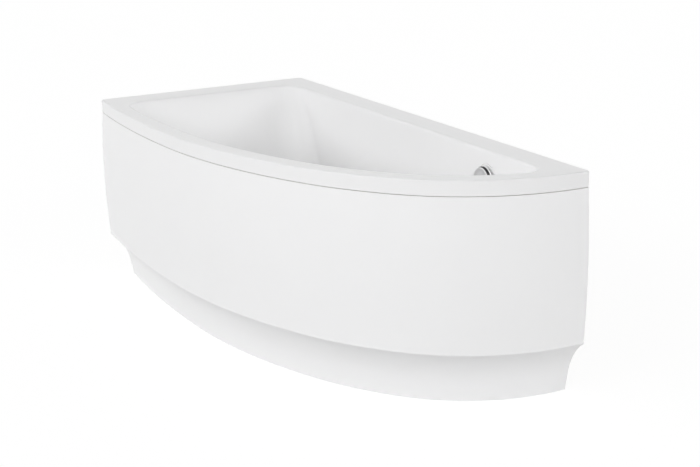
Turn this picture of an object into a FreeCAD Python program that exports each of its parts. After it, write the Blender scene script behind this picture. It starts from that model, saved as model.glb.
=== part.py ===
import FreeCAD, Part
import math
import os
import Sketcher

# Offset corner bath: a one-piece acrylic shell, a swept apron with a coved plinth, a cradle on six levelling
# feet, and a pop-up waste worked from the overflow knob. Millimetres, +Z up. The long back wall is the plane
# Y = bath_width / 2, the end wall is the plane X = -bath_length / 2, and the origin is on the floor under the
# middle of the bath's box. The front sweeps from the wide end, at -X, to the narrow end, at +X.

SIZES = {
    # whole bath
    "bath_length": 1500,
    "bath_width": 700,
    "bath_height": 570,
    # plan curve of the front: four tangent arcs, given by their headings from +X and two of the radii
    "front_heading_start": -5,
    "front_heading_one": 4,
    "front_heading_two": 24,
    "front_heading_three": 40,
    "front_radius_two": 1550,
    "front_radius_four": 550,
    # shell
    "shell_wall": 6,
    "rim_setback": 8,
    "rim_drop": 38,
    "rim_edge_radius": 5,
    "rim_corner_radius": 10,
    "rim_width_end": 92,
    "rim_width_back": 75,
    "rim_width_front": 50,
    "opening_edge_radius": 10,
    "opening_radius_head": 85,
    "opening_radius_front": 70,
    "opening_radius_tail": 45,
    "floor_height": 150,
    "backrest_run": 235,
    "basin_draft_back": 62,
    "basin_draft_front": 70,
    "floor_radius_head": 120,
    "floor_radius_front": 120,
    "floor_radius_tail": 85,
    # apron
    "apron_wall": 4,
    "seam_gap": 1.5,
    "tongue_height": 20,
    "tongue_clearance": 1,
    "lip_height": 145,
    "lip_round": 5,
    "lip_radius": 7.5,
    "cove_height": 46,
    "cove_depth": 57,
    "cove_radius": 165,
    "plinth_rake": 9,
    "glue_gap": 0.3,
    "stiffener_thickness": 12,
    "stiffener_width": 45,
    "stiffener_rise": 35,
    "stiffener_head_gap": 30,
    # cradle
    "board_thickness": 15,
    "board_margin": 12,
    "rail_width": 30,
    "rail_depth": 25,
    "rail_steel": 2,
    "rail_back_reach": 88,
    "rail_wide_inset": 420,
    "rail_narrow_inset": 420,
    "foot_inset": 30,
    "stud_diameter": 10,
    "stud_stand": 10.5,
    "stud_clearance": 0.1,
    "nut_width": 17,
    "nut_height": 6,
    "foot_pad_diameter": 46,
    "foot_pad_height": 9,
    "foot_boss_diameter": 22,
    "foot_boss_height": 8,
    "foot_boss_taper": 2,
    "screw_head_diameter": 9,
    "screw_head_height": 3,
    "screw_diameter": 4,
    "screw_length": 14,
    "screw_spacing": 90,
    "strap_width": 24,
    "strap_steel": 3,
    "strap_overlap": 45,
    "strap_floor_gap": 6,
    # wall brackets
    "bracket_width": 40,
    "bracket_steel": 3,
    "bracket_drop": 62,
    "bracket_shelf": 14,
    "bracket_hook": 22,
    "bracket_hole_diameter": 7,
    "bracket_hole_spacing": 28,
    "bracket_hole_top": 18,
    "bracket_wide_inset": 330,
    "bracket_narrow_inset": 520,
    "bracket_end_inset": 290,
    # clips that hold the top of the apron
    "clip_length": 36,
    "clip_depth": 14,
    "clip_height": 24,
    "clip_jaw_gap": 0.3,
    # overflow
    "overflow_end_inset": 305,
    "overflow_drop": 73,
    "overflow_seat_inset": 76.5,
    "overflow_boss_depth": 11,
    "overflow_boss_diameter": 88,
    "overflow_plate_diameter": 75,
    "overflow_plate_thickness": 3,
    "overflow_hole_diameter": 36,
    "overflow_knob_diameter": 69,
    "overflow_knob_thickness": 13,
    "overflow_knob_gap": 6,
    "overflow_knob_round": 4,
    "spindle_diameter": 12,
    "spindle_clearance": 0.1,
    "overflow_slot_diameter": 5,
    "overflow_slot_circle": 20,
    "gasket_thickness": 3,
    "nipple_wall": 3.5,
    "nipple_clearance": 1,
    "housing_diameter": 76,
    "housing_depth": 34,
    "housing_wall": 4,
    "spigot_diameter": 32,
    "spigot_wall": 3,
    "spigot_drop": 58,
    "spigot_root": 6,
    "hose_diameter": 32,
    "hose_wall": 3,
    "hose_bend": 60,
    "union_diameter": 44,
    "union_length": 26,
    "union_clearance": 0.3,
    "cable_diameter": 6,
    "cable_offset": 30,
    "cable_gland_drop": 46,
    "cable_gland_diameter": 12,
    "cable_boss_width": 12,
    "cable_boss_reach": 18,
    "cable_bend": 90,
    # waste and trap
    "waste_inset": 240,
    "waste_flange_diameter": 72,
    "waste_flange_height": 2.5,
    "waste_bore": 46,
    "waste_tube_wall": 2.5,
    "waste_tube_drop": 32,
    "waste_hole_clearance": 0.5,
    "waste_collar_diameter": 80,
    "waste_collar_height": 6,
    "waste_collar_lip": 2,
    "waste_body_diameter": 60,
    "waste_body_drop": 54,
    "waste_body_slope": 8,
    "waste_board_hole": 92,
    "hub_diameter": 15,
    "hub_height": 7,
    "hub_rise": 8,
    "spider_rib": 3,
    "plug_diameter": 60,
    "plug_height": 5,
    "plug_crown": 120,
    "plug_stem_diameter": 8,
    "plug_stem_length": 52,
    "plug_clearance": 0.3,
    "guide_clearance": 0.1,
    "seal_thickness": 2,
    "seal_outer": 56,
    "seal_inner": 44,
    "inlet_drop": 40,
    "trap_neck_diameter": 48,
    "trap_neck_wall": 4,
    "trap_nut_diameter": 74,
    "trap_nut_height": 18,
    "trap_diameter": 66,
    "trap_height": 60,
    "trap_socket": 4,
    "trap_cap_diameter": 74,
    "trap_cap_height": 13,
    "trap_cap_lip": 4,
    "outlet_diameter": 40,
    "outlet_wall": 3,
    "outlet_height": 48,
    "outlet_start": 58,
    "outlet_socket_depth": 14,
    "outlet_socket_wall": 3,
    "outlet_nut_diameter": 60,
    "outlet_nut_length": 24,
    "outlet_nut_lip": 4,
    "outlet_nut_round": 2,
    "outlet_cone_length": 12,
    "outlet_end_diameter": 50,
    "outlet_end_length": 55,
    "outlet_wall_gap": 4,
}

doc = FreeCAD.newDocument("OffsetCornerBath")
sheet = doc.addObject("Spreadsheet::Sheet", "Sizes")
derived = doc.addObject("App::VarSet", "Derived")
nodes = []


class Size:
    """A number that remembers the expression it came from."""

    def __init__(self, value, text):
        self.value = float(value)
        self.text = text

    def __add__(self, other):
        other = as_size(other)
        return Size(self.value + other.value, f"({self.text} + {other.text})")

    def __sub__(self, other):
        other = as_size(other)
        return Size(self.value - other.value, f"({self.text} - {other.text})")

    def __mul__(self, other):
        other = as_size(other)
        return Size(self.value * other.value, f"({self.text} * {other.text})")

    def __truediv__(self, other):
        other = as_size(other)
        return Size(self.value / other.value, f"({self.text} / {other.text})")

    def __radd__(self, other):
        return as_size(other) + self

    def __rsub__(self, other):
        return as_size(other) - self

    def __rmul__(self, other):
        return as_size(other) * self

    def __neg__(self):
        return as_size(0) - self


def as_size(number):
    return number if isinstance(number, Size) else Size(number, repr(float(number)))


def sine(angle):
    return Size(math.sin(math.radians(angle.value)), f"sin({angle.text})")


def cosine(angle):
    return Size(math.cos(math.radians(angle.value)), f"cos({angle.text})")


def root(number):
    return Size(math.sqrt(number.value), f"sqrt({number.text})")


def leg(hypotenuse, other):
    """The second short side of a right triangle."""
    return root(hypotenuse * hypotenuse - other * other)


def fill_sheet():
    for row, (alias, number) in enumerate(SIZES.items(), start=1):
        sheet.set(f"A{row}", alias)
        sheet.set(f"B{row}", str(number))
        sheet.setAlias(f"B{row}", alias)
    doc.recompute()


def size(alias):
    return Size(SIZES[alias], f"Sizes.{alias}")


def derive(name, value):
    """Keeps a worked-out size in the document under its own name."""
    derived.addProperty("App::PropertyFloat", name, "Derived")
    derived.setExpression(name, value.text)
    return Size(value.value, f"Derived.{name}")


def bind(thing, bindings):
    for path, value in bindings.items():
        thing.setExpression(path, as_size(value).text)
    return thing


def place(thing, x=0, y=0, z=0, axis=None, angle=0):
    """Puts a sub-part at a point, turned about one axis by a fixed angle."""
    if axis:
        thing.Placement = FreeCAD.Placement(FreeCAD.Vector(), FreeCAD.Rotation(FreeCAD.Vector(*axis), angle))
    return bind(thing, {"Placement.Base.x": x, "Placement.Base.y": y, "Placement.Base.z": z})


def keep(thing, name):
    """Makes an object a sub-part of the bath, under its own name."""
    thing.Label = name
    nodes.append(thing)
    return thing


# ---- sketches and features -------------------------------------------------------------------------------

def new_body(name):
    return doc.addObject("PartDesign::Body", name + "_body")


def plane_of(body, role):
    return next(item for item in body.Origin.OriginFeatures if item.Role == role)


def new_sketch(body, name, role, height=None):
    sketch = body.newObject("Sketcher::SketchObject", name)
    sketch.AttachmentSupport = (plane_of(body, role), [""])
    sketch.MapMode = "FlatFace"
    if height is not None:
        bind(sketch, {"AttachmentOffset.Base.z": height})
    return sketch


def add_outline(sketch, corners, bulges=None):
    """Draws a closed outline. bulges gives the radius of the arc that leaves a corner: positive where it
    swells to the right of the way round, negative where it is hollow."""
    bulges = {edge: as_size(radius) for edge, radius in (bulges or {}).items()}
    points = [FreeCAD.Vector(as_size(x).value, as_size(y).value, 0) for x, y in corners]
    first = sketch.GeometryCount
    ends = []
    for number, start in enumerate(points):
        finish = points[(number + 1) % len(points)]
        if number in bulges:
            sketch.addGeometry(arc_between(start, finish, bulges[number].value), False)
            ends.append((1, 2) if bulges[number].value > 0 else (2, 1))
        else:
            sketch.addGeometry(Part.LineSegment(start, finish), False)
            ends.append((1, 2))
    count = len(points)
    joined = [Sketcher.Constraint("Coincident", first + number, ends[number][1], first + (number + 1) % count,
                                  ends[(number + 1) % count][0]) for number in range(count)]
    sketch.addConstraint(joined)
    for number, (x, y) in enumerate(corners):
        fix_point(sketch, first + number, ends[number][0], x, y)
    for number, radius in bulges.items():
        fix_radius(sketch, first + number, radius if radius.value > 0 else -radius)
    return sketch


def arc_between(start, finish, radius):
    """The short arc from start to finish, with its centre to the left of the way for a positive radius."""
    chord = finish.sub(start)
    half = chord.Length / 2
    left = FreeCAD.Vector(-chord.y, chord.x, 0).normalize()
    reach = math.sqrt(max(radius * radius - half * half, 0))
    centre = start + chord * 0.5 + left * math.copysign(reach, radius)
    circle = Part.Circle(centre, FreeCAD.Vector(0, 0, 1), abs(radius))
    first, last = (start, finish) if radius > 0 else (finish, start)
    return Part.ArcOfCircle(circle, circle.parameter(first), circle.parameter(last))


def fix_point(sketch, edge, end, x, y):
    for kind, value in (("DistanceX", as_size(x)), ("DistanceY", as_size(y))):
        number = sketch.addConstraint(Sketcher.Constraint(kind, -1, 1, edge, end, value.value))
        bind(sketch, {f"Constraints[{number}]": value})


def fix_radius(sketch, edge, radius):
    number = sketch.addConstraint(Sketcher.Constraint("Radius", edge, radius.value))
    bind(sketch, {f"Constraints[{number}]": radius})


def add_circle(sketch, x, y, radius):
    x, y, radius = as_size(x), as_size(y), as_size(radius)
    circle = Part.Circle(FreeCAD.Vector(x.value, y.value, 0), FreeCAD.Vector(0, 0, 1), radius.value)
    edge = sketch.addGeometry(circle, False)
    fix_point(sketch, edge, 3, x, y)
    fix_radius(sketch, edge, radius)
    return sketch


def pad(body, sketch, length, reverse=False):
    feature = body.newObject("PartDesign::Pad", sketch.Name + "_pad")
    feature.Profile = sketch
    feature.Reversed = reverse
    return bind(feature, {"Length": length})


def pocket(body, sketch, length, reverse=False):
    feature = body.newObject("PartDesign::Pocket", sketch.Name + "_pocket")
    feature.Profile = sketch
    feature.Reversed = reverse
    return bind(feature, {"Length": length})


def revolve(body, sketch, angle=360):
    feature = body.newObject("PartDesign::Revolution", sketch.Name + "_turn")
    feature.Profile = sketch
    feature.ReferenceAxis = (sketch, ["V_Axis"])
    return bind(feature, {"Angle": angle})


def round_edges(body, base, edges, radius, name):
    fillet = body.newObject("PartDesign::Fillet", name)
    fillet.Base = (base, edges)
    return bind(fillet, {"Radius": radius})


def edges_where(shape, test):
    return [f"Edge{number}" for number, edge in enumerate(shape.Edges, start=1) if test(edge)]


def turned(name, profile, bulges=None, x=0, y=0, z=0, axis=None, angle=0):
    """A piece turned about its own upright axis from a profile of radius and height."""
    body = new_body(name)
    revolve(body, add_outline(new_sketch(body, name + "_profile", "XZ_Plane"), profile, bulges))
    return place(body, x, y, z, axis, angle)


def cylinder(name, radius, height, x, y, z, axis=None, angle=0):
    solid = doc.addObject("Part::Cylinder", name)
    return place(bind(solid, {"Radius": radius, "Height": height}), x, y, z, axis, angle)


def joined(name, solids):
    fuse = doc.addObject("Part::MultiFuse", name)
    fuse.Shapes = solids
    return fuse


def bored(name, base, tools):
    cut = doc.addObject("Part::Cut", name)
    cut.Base = base
    cut.Tool = tools[0] if len(tools) == 1 else joined(name + "_bores", tools)
    return cut


def grouped(name, solids):
    group = doc.addObject("Part::Compound", name)
    group.Links = solids
    return group


fill_sheet()
half_length = size("bath_length") / 2
half_width = size("bath_width") / 2
wall_end = derive("wall_end", -half_length)
wall_back = derive("wall_back", half_width)


# ---- plan curve of the front -----------------------------------------------------------------------------

class FrontCurve:
    """Four tangent arcs from the end wall to the back wall, where the last one arrives square. Two radii are
    chosen and the other two are solved, so that the curve always fits the bath's length and width."""

    def __init__(self):
        names = ("front_heading_start", "front_heading_one", "front_heading_two", "front_heading_three")
        self.headings = [size(name) for name in names] + [as_size(90)]
        sines = [sine(heading) for heading in self.headings]
        cosines = [cosine(heading) for heading in self.headings]
        radius_two, radius_four = size("front_radius_two"), size("front_radius_four")
        along_one, along_three = sines[1] - sines[0], sines[3] - sines[2]
        across_one, across_three = 1 - cosines[1], cosines[2] - cosines[3]
        along = size("bath_length") - radius_two * (sines[2] - sines[1]) - radius_four * (1 - sines[3])
        across = size("bath_width") - radius_two * (cosines[1] - cosines[2]) - radius_four * cosines[3]
        share = derive("front_share", along_one * across_three - along_three * across_one)
        radius_one = derive("front_radius_one", (along * across_three - across * along_three) / share)
        radius_three = derive("front_radius_three", (along_one * across - across_one * along) / share)
        self.radii = [radius_one, radius_two, radius_three, radius_four]
        centre_x = derive("centre_x_1", wall_end - radius_one * sines[0])
        centre_y = derive("centre_y_1", radius_one - half_width)
        self.centres = [(centre_x, centre_y)]
        for number in (1, 2, 3):
            step = self.radii[number - 1] - self.radii[number]
            centre_x = derive(f"centre_x_{number + 1}", centre_x + step * sines[number])
            centre_y = derive(f"centre_y_{number + 1}", centre_y - step * cosines[number])
            self.centres.append((centre_x, centre_y))

    def point(self, arc, heading, inset):
        """The point of an arc at a heading, moved into the bath by inset."""
        centre_x, centre_y = self.centres[arc]
        reach = self.radii[arc] - inset
        return centre_x + reach * sine(heading), centre_y - reach * cosine(heading)

    def joints(self, inset):
        return [self.point(number, self.headings[number + 1], inset) for number in (0, 1, 2)]

    def y_at(self, x, inset):
        """Y of the curve, moved in by inset, at a given X."""
        ends = [wall_end.value] + [point[0].value for point in self.joints(inset)] + [half_length.value]
        arc = max(number for number in range(4) if number == 0 or as_size(x).value > ends[number])
        centre_x, centre_y = self.centres[arc]
        return centre_y - leg(self.radii[arc] - inset, as_size(x) - centre_x)

    def outline(self, inset, end_inset, back_inset):
        """A closed plan with square corners at the walls, and the radii of its arcs."""
        left, back = wall_end + end_inset, wall_back - back_inset
        centre_x, centre_y = self.centres[3]
        tail = (centre_x + leg(self.radii[3] - inset, back - centre_y), back)
        corners = [(left, self.y_at(left, inset))] + self.joints(inset) + [tail, (left, back)]
        return corners, {number: self.radii[number] - inset for number in range(4)}

    def rounded(self, inset, end_inset, back_inset, front_radius, tail_radius, head_radius):
        """The same plan with rounded corners, for the basin and its floor."""
        left, back = wall_end + end_inset, wall_back - back_inset
        front_x = left + front_radius
        first_x, first_y = self.centres[0]
        reach = self.radii[0] - inset - front_radius
        front_y = first_y - leg(reach, front_x - first_x)
        stretch = (self.radii[0] - inset) / reach
        front_end = (first_x + stretch * (front_x - first_x), first_y + stretch * (front_y - first_y))
        last_x, last_y = self.centres[3]
        tail_y = back - tail_radius
        reach = self.radii[3] - inset - tail_radius
        tail_x = last_x + leg(reach, tail_y - last_y)
        stretch = (self.radii[3] - inset) / reach
        tail_start = (last_x + stretch * (tail_x - last_x), last_y + stretch * (tail_y - last_y))
        corners = [(left, front_y), front_end] + self.joints(inset) + [
            tail_start, (tail_x, back), (left + head_radius, back), (left, back - head_radius)]
        radii = [front_radius] + [radius - inset for radius in self.radii] + [tail_radius]
        bulges = dict(enumerate(radii))
        bulges[7] = head_radius
        return corners, bulges


front = FrontCurve()
height = size("bath_height")
wall = size("shell_wall")
skirt_foot = derive("skirt_foot", height - size("rim_drop"))
rim_inset = size("rim_setback")
floor_top = size("floor_height")
floor_under = derive("floor_under", floor_top - wall)
board_under = derive("board_under", floor_under - size("board_thickness"))
rail_under = derive("rail_under", board_under - size("rail_depth"))

# share of the way down, of the run of the side walls and of the run of the backrest, at each basin section
BASIN_SECTIONS = ((0.0, 0.0, 0.0), (0.3, 0.1, 0.27), (0.6, 0.2, 0.55), (0.82, 0.36, 0.76), (0.94, 0.6, 0.89),
                  (1.0, 1.0, 1.0))


def basin_section(body, name, shares, growth):
    """One level plan of the basin. growth is the wall that is added round it for the outside."""
    down, side, rest = shares
    depth = height - floor_top
    level = height - down * depth
    if growth.value > 0 and down == 1.0:
        level = floor_under
    elif growth.value > 0 and down == 0.0:
        level = height - wall / 2
    front_inset = rim_inset + size("rim_width_front") + side * size("basin_draft_front") - growth
    end_inset = size("rim_width_end") + rest * size("backrest_run") - growth
    back_inset = size("rim_width_back") + side * size("basin_draft_back") - growth
    radii = []
    for corner in ("front", "tail", "head"):
        opening, bottom = size("opening_radius_" + corner), size("floor_radius_" + corner)
        radii.append(opening + rest * (bottom - opening) + growth)
    sketch = new_sketch(body, name, "XY_Plane", level)
    return add_outline(sketch, *front.rounded(front_inset, end_inset, back_inset, *radii))


def basin_loft(body, kind, name, growth):
    sections = [basin_section(body, f"{name}_{number}", shares, growth)
                for number, shares in enumerate(BASIN_SECTIONS)]
    loft = body.newObject("PartDesign::" + kind, name)
    loft.Profile = sections[0]
    loft.Sections = sections[1:]
    loft.Ruled = False
    return loft


def make_shell():
    """Rim plate with a turned-down skirt all round, and the basin hung in it."""
    body = new_body("bath_shell")
    plan = add_outline(new_sketch(body, "rim_plan", "XY_Plane", skirt_foot), *front.outline(rim_inset, 0, 0))
    slab = pad(body, plan, size("rim_drop"))
    doc.recompute()

    def at_wall_corner(edge):
        middle = edge.CenterOfMass
        upright = edge.BoundBox.ZLength > 1
        return upright and middle.x < wall_end.value + 1 and middle.y > 0

    corner = round_edges(body, slab, edges_where(slab.Shape, at_wall_corner), size("rim_corner_radius"),
                         "rim_wall_corner")
    doc.recompute()

    def on_front_top(edge):
        middle = edge.CenterOfMass
        level = abs(middle.z - height.value) < 0.01 and edge.BoundBox.ZLength < 0.01
        return level and isinstance(edge.Curve, Part.Circle) and edge.Curve.Radius > half_width.value / 2

    edge_round = round_edges(body, corner, edges_where(corner.Shape, on_front_top), size("rim_edge_radius"),
                             "rim_top_edge")
    hollow = add_outline(new_sketch(body, "rim_hollow_plan", "XY_Plane", skirt_foot),
                         *front.outline(rim_inset + wall, wall, wall))
    pocket(body, hollow, size("rim_drop") - wall, reverse=True)
    doc.recompute()
    basin_loft(body, "AdditiveLoft", "basin_outside", wall)
    doc.recompute()
    boss = add_circle(new_sketch(body, "overflow_boss", "XZ_Plane", -overflow_boss_back), overflow_x, overflow_z,
                      size("overflow_boss_diameter") / 2)
    pad(body, boss, size("overflow_boss_depth") + wall / 2)
    doc.recompute()
    cavity = basin_loft(body, "SubtractiveLoft", "basin_inside", as_size(0))
    doc.recompute()

    def at_opening(edge):
        box = edge.BoundBox
        inside = edge.CenterOfMass.x > wall_end.value + wall.value
        level = abs(box.ZMin - height.value) < 0.01 and abs(box.ZMax - height.value) < 0.01
        middle = edge.valueAt((edge.FirstParameter + edge.LastParameter) / 2)
        near_back = middle.y > wall_back.value - size("rim_width_back").value / 4
        front_gap = middle.y - front.y_at(middle.x, 0).value
        return level and inside and not near_back and front_gap > rim_inset.value + size("rim_width_front").value / 2

    opening = round_edges(body, cavity, edges_where(cavity.Shape, at_opening), size("opening_edge_radius"),
                          "opening_edge")
    seat = add_circle(new_sketch(body, "overflow_seat", "XZ_Plane", -overflow_seat), overflow_x, overflow_z,
                      size("overflow_plate_diameter") / 2 + size("nipple_clearance"))
    pocket(body, seat, size("overflow_boss_depth"), reverse=True)
    hole = add_circle(new_sketch(body, "overflow_hole", "XZ_Plane", -overflow_boss_back - 1), overflow_x,
                      overflow_z, size("overflow_hole_diameter") / 2)
    pocket(body, hole, size("overflow_boss_depth") * 3, reverse=True)
    drain = add_circle(new_sketch(body, "drain_hole", "XY_Plane", floor_under - 1), overflow_x, waste_y,
                       waste_tube_radius + size("waste_hole_clearance"))
    pocket(body, drain, wall + 2, reverse=True)
    return keep(body, "bath_shell")


# ---- places of the waste and overflow --------------------------------------------------------------------

overflow_x = derive("overflow_x", half_length - size("overflow_end_inset"))
overflow_z = derive("overflow_z", height - size("overflow_drop"))
overflow_seat = derive("overflow_seat", wall_back - size("overflow_seat_inset"))
overflow_boss_back = derive("overflow_boss_back", overflow_seat + size("overflow_boss_depth"))
waste_y = derive("waste_y", wall_back - size("waste_inset"))
waste_tube_radius = derive("waste_tube_radius", size("waste_bore") / 2 + size("waste_tube_wall"))


# ---- apron -----------------------------------------------------------------------------------------------

apron_top = derive("apron_top", skirt_foot - size("seam_gap"))
belly_middle = derive("belly_middle", (apron_top + size("lip_height")) / 2)
belly_half = derive("belly_half", (apron_top - size("lip_height")) / 2)
belly_radius = derive("belly_radius", (belly_half * belly_half + rim_inset * rim_inset) / (2 * rim_inset))
cove_inset = derive("cove_inset", rim_inset + size("cove_depth"))
plinth_inset = derive("plinth_inset", cove_inset + size("plinth_rake"))
apron_back = derive("apron_back", plinth_inset + size("apron_wall"))
tongue_inset = derive("tongue_inset", rim_inset + wall + size("tongue_clearance"))
tongue_back = derive("tongue_back", tongue_inset + size("apron_wall"))


def belly_at(level, depth):
    """Inset of the swollen face of the apron, moved in by depth, at a level."""
    return belly_radius + depth - leg(belly_radius, level - belly_middle)


def front_sweep(body, name, profile, bulges, arc, start, turn):
    """Turns a profile of (inset, height) round the centre of one arc of the front, from a heading."""
    centre_x, centre_y = front.centres[arc]
    reach = front.radii[arc]
    sketch = new_sketch(body, name, "XZ_Plane")
    sketch.AttachmentOffset = FreeCAD.Placement(
        FreeCAD.Vector(centre_x.value, 0, -centre_y.value),
        FreeCAD.Rotation(FreeCAD.Vector(0, 1, 0), start.value - 90))
    bind(sketch, {"AttachmentOffset.Base.x": centre_x, "AttachmentOffset.Base.z": -centre_y,
                  "AttachmentOffset.Rotation.Angle": start - 90})
    add_outline(sketch, [(reach - inset, level) for inset, level in profile], bulges)
    return revolve(body, sketch, turn)


def apron_profile():
    """Section of the apron, from the foot of the plinth up the outside and down the inside."""
    thick = size("apron_wall")
    lip, lip_round = size("lip_height"), size("lip_round")
    lip_inset = belly_at(lip, 0)
    cove = size("cove_height")
    outside = [(plinth_inset, 0), (cove_inset, cove), (lip_inset + lip_round, lip - lip_round),
               (belly_at(lip + lip_round, 0), lip + lip_round), (rim_inset, apron_top)]
    tongue = [(tongue_inset, apron_top), (tongue_inset, apron_top + size("tongue_height")),
              (tongue_back, apron_top + size("tongue_height")), (tongue_back, apron_top - thick),
              (belly_at(apron_top - thick, thick), apron_top - thick)]
    inside = [(belly_at(lip + lip_round + thick, thick), lip + lip_round + thick),
              (cove_inset + thick, cove), (apron_back, 0)]
    bulges = {1: -size("cove_radius"), 2: size("lip_radius"), 3: belly_radius, 9: -belly_radius,
              10: size("cove_radius")}
    return outside + tongue + inside, bulges


def make_apron():
    """One-piece front panel: belly, lip, cove and plinth, with a tongue behind the rim's skirt."""
    body = new_body("apron")
    profile, bulges = apron_profile()
    spare = as_size(2)
    for number in range(4):
        start = front.headings[number] - (spare if number == 0 else 0)
        turn = front.headings[number + 1] - start
        front_sweep(body, f"apron_{number + 1}", profile, bulges, number, start, turn)
    past = wall_end - half_width
    beyond = [(past, -2 * half_width), (wall_end, -2 * half_width), (wall_end, half_width), (past, half_width)]
    wall_cut = add_outline(new_sketch(body, "apron_wall_cut", "XY_Plane", -1), beyond)
    pocket(body, wall_cut, height, reverse=True)
    clear = wall + size("tongue_clearance")
    notch = new_sketch(body, "apron_tongue_ends", "XY_Plane", apron_top)
    front_edge = -half_width - 10
    add_outline(notch, [(wall_end - 1, front_edge), (wall_end + clear, front_edge), (wall_end + clear, half_width),
                        (wall_end - 1, half_width)])
    add_outline(notch, [(0, wall_back - clear), (half_length + 10, wall_back - clear),
                        (half_length + 10, wall_back + 1), (0, wall_back + 1)])
    pocket(body, notch, size("tongue_height") + 1, reverse=True)
    return keep(body, "apron")


# arc of the front and heading at which each batten and each clip starts
STIFFENERS = ((0, -2.6), (0, 2.2), (1, 12.0), (2, 30.0), (3, 58.0))
CLIPS = ((0, -4.0), (0, 0.0), (1, 6.0), (1, 17.0), (2, 34.0), (3, 72.0))


def make_stiffeners():
    """Upright battens glued inside the belly, one on each stretch that a hand would press."""
    gap = size("glue_gap") + size("apron_wall")
    deep = gap + size("stiffener_thickness")
    low, high = size("lip_height") + size("stiffener_rise"), apron_top - size("stiffener_head_gap")
    profile = [(belly_at(high, gap), high), (belly_at(high, deep), high), (belly_at(low, deep), low),
               (belly_at(low, gap), low)]
    bulges = {1: -belly_radius, 3: belly_radius}
    for number, (arc, heading) in enumerate(STIFFENERS, start=1):
        body = new_body(f"apron_stiffener_{number}")
        turn = size("stiffener_width") / front.radii[arc] * (180 / math.pi)
        front_sweep(body, f"stiffener_{number}", profile, bulges, arc, as_size(heading), turn)
        keep(body, f"apron_stiffener_{number}")


def make_clips():
    """Blocks under the rim that hold the apron's tongue against the skirt."""
    clips = []
    inner = tongue_back + size("clip_jaw_gap")
    outer = inner + size("clip_depth")
    top = height - wall
    profile = [(inner, top - size("clip_height")), (inner, top), (outer, top), (outer, top - size("clip_height"))]
    for number, (arc, heading) in enumerate(CLIPS, start=1):
        body = new_body(f"clip_{number}")
        turn = size("clip_length") / front.radii[arc] * (180 / math.pi)
        front_sweep(body, f"clip_{number}_section", profile, {}, arc, as_size(heading), turn)
        clips.append(body)
    return keep(grouped("apron_clips", clips), "apron_clips")


# ---- cradle ----------------------------------------------------------------------------------------------

def make_board():
    """Board bonded under the basin floor, with a round hole for the waste."""
    body = new_body("base_board")
    margin = size("board_margin")
    plan = front.rounded(rim_inset + size("rim_width_front") + size("basin_draft_front") + margin,
                         size("rim_width_end") + size("backrest_run") + margin,
                         size("rim_width_back") + size("basin_draft_back") + margin,
                         size("floor_radius_front"), size("floor_radius_tail"), size("floor_radius_head"))
    pad(body, add_outline(new_sketch(body, "board_plan", "XY_Plane", board_under), *plan),
        size("board_thickness"))
    holes = new_sketch(body, "board_holes", "XY_Plane", board_under - 1)
    add_circle(holes, overflow_x, waste_y, size("waste_board_hole") / 2)
    for x, y in screw_places():
        add_circle(holes, x, y, size("screw_diameter") / 2)
    pocket(body, holes, size("board_thickness") + 2, reverse=True)
    return keep(body, "base_board")


RAILS = ("wide", "middle", "narrow")


def rail_front(place_x):
    """Y of the front end of a rail, just behind the apron's plinth at the rail's nearer corner."""
    nearer = place_x + size("rail_width") / 2
    return front.y_at(nearer, apron_back + size("glue_gap") + size("strap_steel"))


rail_back = derive("rail_back", wall_back - size("rail_back_reach"))
rail_wide = derive("rail_wide", wall_end + size("rail_wide_inset"))
rail_narrow = derive("rail_narrow", half_length - size("rail_narrow_inset"))
rail_middle = derive("rail_middle", (rail_wide + rail_narrow) / 2)
rail_places = {"wide": rail_wide, "middle": rail_middle, "narrow": rail_narrow}
rail_fronts = {rail: derive(f"rail_{rail}_front", rail_front(rail_places[rail])) for rail in RAILS}


def screw_places():
    """Two screws through each rail into the board, either side of the board's middle line."""
    places = []
    for rail in RAILS:
        middle = (rail_back + rail_fronts[rail]) / 2
        for side in (-1, 1):
            places.append((rail_places[rail], middle + side * size("screw_spacing") / 2))
    return places


def foot_places():
    places = {}
    for rail in RAILS:
        places[f"{rail}_front"] = (rail_places[rail], rail_fronts[rail] + size("foot_inset"))
        places[f"{rail}_back"] = (rail_places[rail], rail_back - size("foot_inset"))
    return places


def make_rails():
    """Three channels across the underside, open below, with holes for the feet and the screws."""
    width, steel = size("rail_width"), size("rail_steel")
    for rail in RAILS:
        body = new_body(f"rail_{rail}")
        x, start = rail_places[rail], rail_fronts[rail]
        half = width / 2
        section = [(x - half, rail_under), (x - half + steel, rail_under), (x - half + steel, board_under - steel),
                   (x + half - steel, board_under - steel), (x + half - steel, rail_under),
                   (x + half, rail_under), (x + half, board_under), (x - half, board_under)]
        sketch = add_outline(new_sketch(body, f"rail_{rail}_section", "XZ_Plane", -rail_back), section)
        pad(body, sketch, rail_back - start)
        holes = new_sketch(body, f"rail_{rail}_holes", "XY_Plane", board_under - steel - 1)
        for end in ("front", "back"):
            foot_x, foot_y = foot_places()[f"{rail}_{end}"]
            add_circle(holes, foot_x, foot_y, size("stud_diameter") / 2 + size("stud_clearance"))
        for screw_x, screw_y in screw_places():
            if screw_x.text == x.text:
                add_circle(holes, screw_x, screw_y, size("screw_diameter") / 2)
        pocket(body, holes, steel + 2, reverse=True)
        keep(body, f"rail_{rail}")


def make_screws():
    screws = []
    for number, (x, y) in enumerate(screw_places(), start=1):
        head, shank = size("screw_head_diameter") / 2, size("screw_diameter") / 2
        seat = size("screw_head_height")
        profile = [(0, 0), (head, 0), (head, seat), (shank, seat), (shank, size("screw_length")),
                   (0, size("screw_length"))]
        level = board_under - size("rail_steel") - seat
        screws.append(turned(f"rail_screw_{number}", profile, x=x, y=y, z=level))
    return keep(grouped("rail_screws", screws), "rail_screws")


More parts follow.
